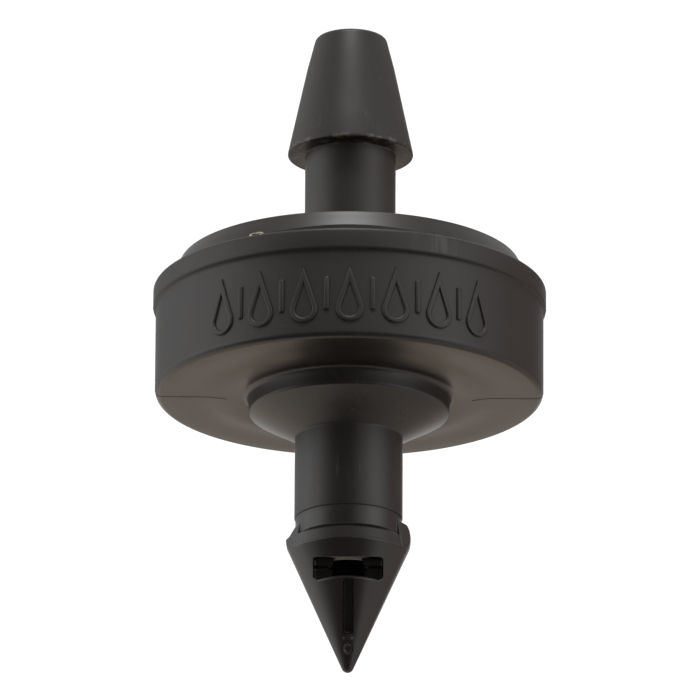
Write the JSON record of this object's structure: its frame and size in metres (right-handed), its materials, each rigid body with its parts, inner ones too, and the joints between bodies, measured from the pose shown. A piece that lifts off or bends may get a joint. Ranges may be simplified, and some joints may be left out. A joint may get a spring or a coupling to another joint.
{
  "type": "drip emitter",
  "caption": "Button drip emitter: snap-together cup and cover over a silicone diaphragm and a labyrinth disc, with a self-piercing inlet barb and a barbed outlet nozzle.",
  "frame": {"origin": "on the axis of flow, at the root of the inlet stem where it meets the boss of the cup", "axes": "+Z along the axis of flow, from the inlet barb to the outlet nozzle; -Y is the side of an inlet window and of the raised band"},
  "size_m": [0.016, 0.016, 0.0273],
  "materials": {
    "housing_plastic": "moulded black acetal, satin",
    "cover_plastic": "moulded black acetal, satin",
    "disc_plastic": "moulded dark polypropylene",
    "silicone": "translucent moulded silicone"
  },
  "bodies": {
    "emitter_body": {"housing": "housing_plastic", "labyrinth_disc": "disc_plastic", "cover": "cover_plastic"},
    "diaphragm": {"diaphragm": "silicone"}
  },
  "joints": [
    {"name": "diaphragm_lift", "type": "slide", "parent": "emitter_body", "child": "diaphragm", "axis": [0, 0, 1], "range_m": [0, 0.00026], "stiffness_N_per_m": 200}
  ]
}
